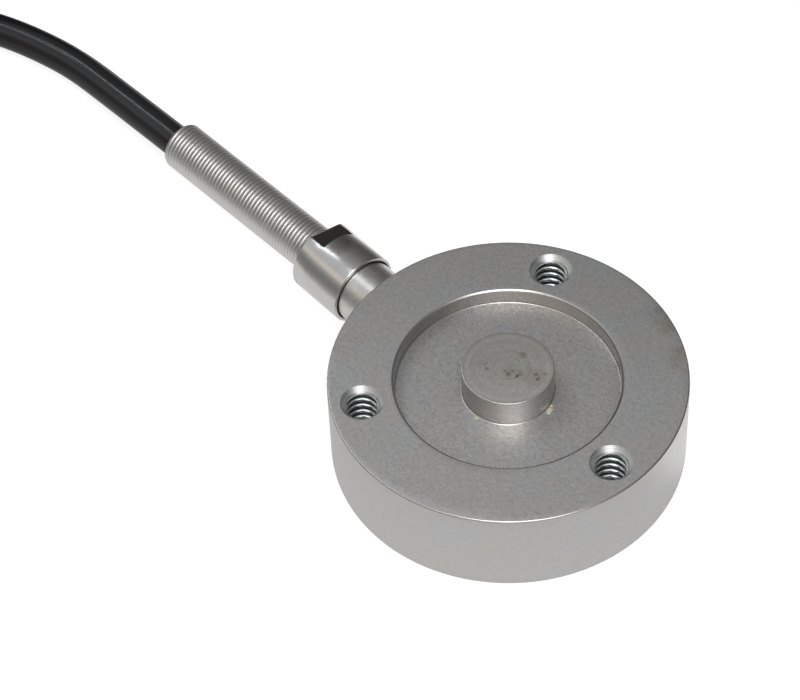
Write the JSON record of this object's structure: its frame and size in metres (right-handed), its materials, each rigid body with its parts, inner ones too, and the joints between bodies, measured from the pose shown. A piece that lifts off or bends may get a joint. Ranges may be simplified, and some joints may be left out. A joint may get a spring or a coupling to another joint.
{
  "type": "button load cell",
  "caption": "Low-profile compression load cell with a raised load button, a tapped rim and a side cable gland with a spring strain relief.",
  "frame": {"origin": "centre of the mounting face, where the axis of the tapped hole circle meets it", "axes": "+Z along the load axis, out of the button; +X along the cable exit; +Y completes a right-handed frame"},
  "size_m": [0.1408, 0.0492, 0.0141],
  "materials": {
    "blasted_steel": "bead-blasted stainless steel",
    "cover_steel": "turned stainless disc",
    "gland_steel": "satin turned stainless steel",
    "spring_steel": "bright drawn wire",
    "washer_brass": "plain",
    "seal_rubber": "matt",
    "cable_jacket": "smooth black jacket",
    "tie_nylon": "moulded nylon",
    "shrink_sleeve": "shrunk tube",
    "red_insulation": "plain",
    "black_insulation": "plain",
    "green_insulation": "plain",
    "white_insulation": "plain",
    "grey_insulation": "plain",
    "tinned_copper": "tinned strands",
    "gauge_film": "amber film with foil grid",
    "enamelled_wire": "enamelled copper",
    "board_laminate": "glass laminate",
    "solder": "bright",
    "resistor_ceramic": "plain"
  },
  "bodies": {
    "root": {"body": "blasted_steel", "bottom_cover": "cover_steel", "strain_gauge_1": "gauge_film", "strain_gauge_2": "gauge_film", "strain_gauge_3": "gauge_film", "strain_gauge_4": "gauge_film", "gauge_wires_1": "enamelled_wire", "gauge_wires_2": "enamelled_wire", "gauge_wires_3": "enamelled_wire", "gauge_wires_4": "enamelled_wire", "terminal_board": "board_laminate", "solder_joints": "solder", "balance_resistor": "resistor_ceramic", "span_resistor": "resistor_ceramic", "zero_resistor": "resistor_ceramic", "core_red": "red_insulation", "core_black": "black_insulation", "core_green": "green_insulation", "core_white": "white_insulation", "gland_stem": "gland_steel", "gland_collar": "gland_steel", "thrust_washer": "washer_brass", "cable_seal": "seal_rubber", "strain_relief_spring": "spring_steel", "cable": "cable_jacket", "cable_coil": "cable_jacket", "cable_tail": "cable_jacket", "coil_tie": "tie_nylon", "end_sleeve": "shrink_sleeve", "lead_red": "red_insulation", "lead_black": "black_insulation", "lead_shield": "grey_insulation", "lead_green": "green_insulation", "lead_white": "white_insulation", "tinned_ends": "tinned_copper"}
  },
  "joints": []
}
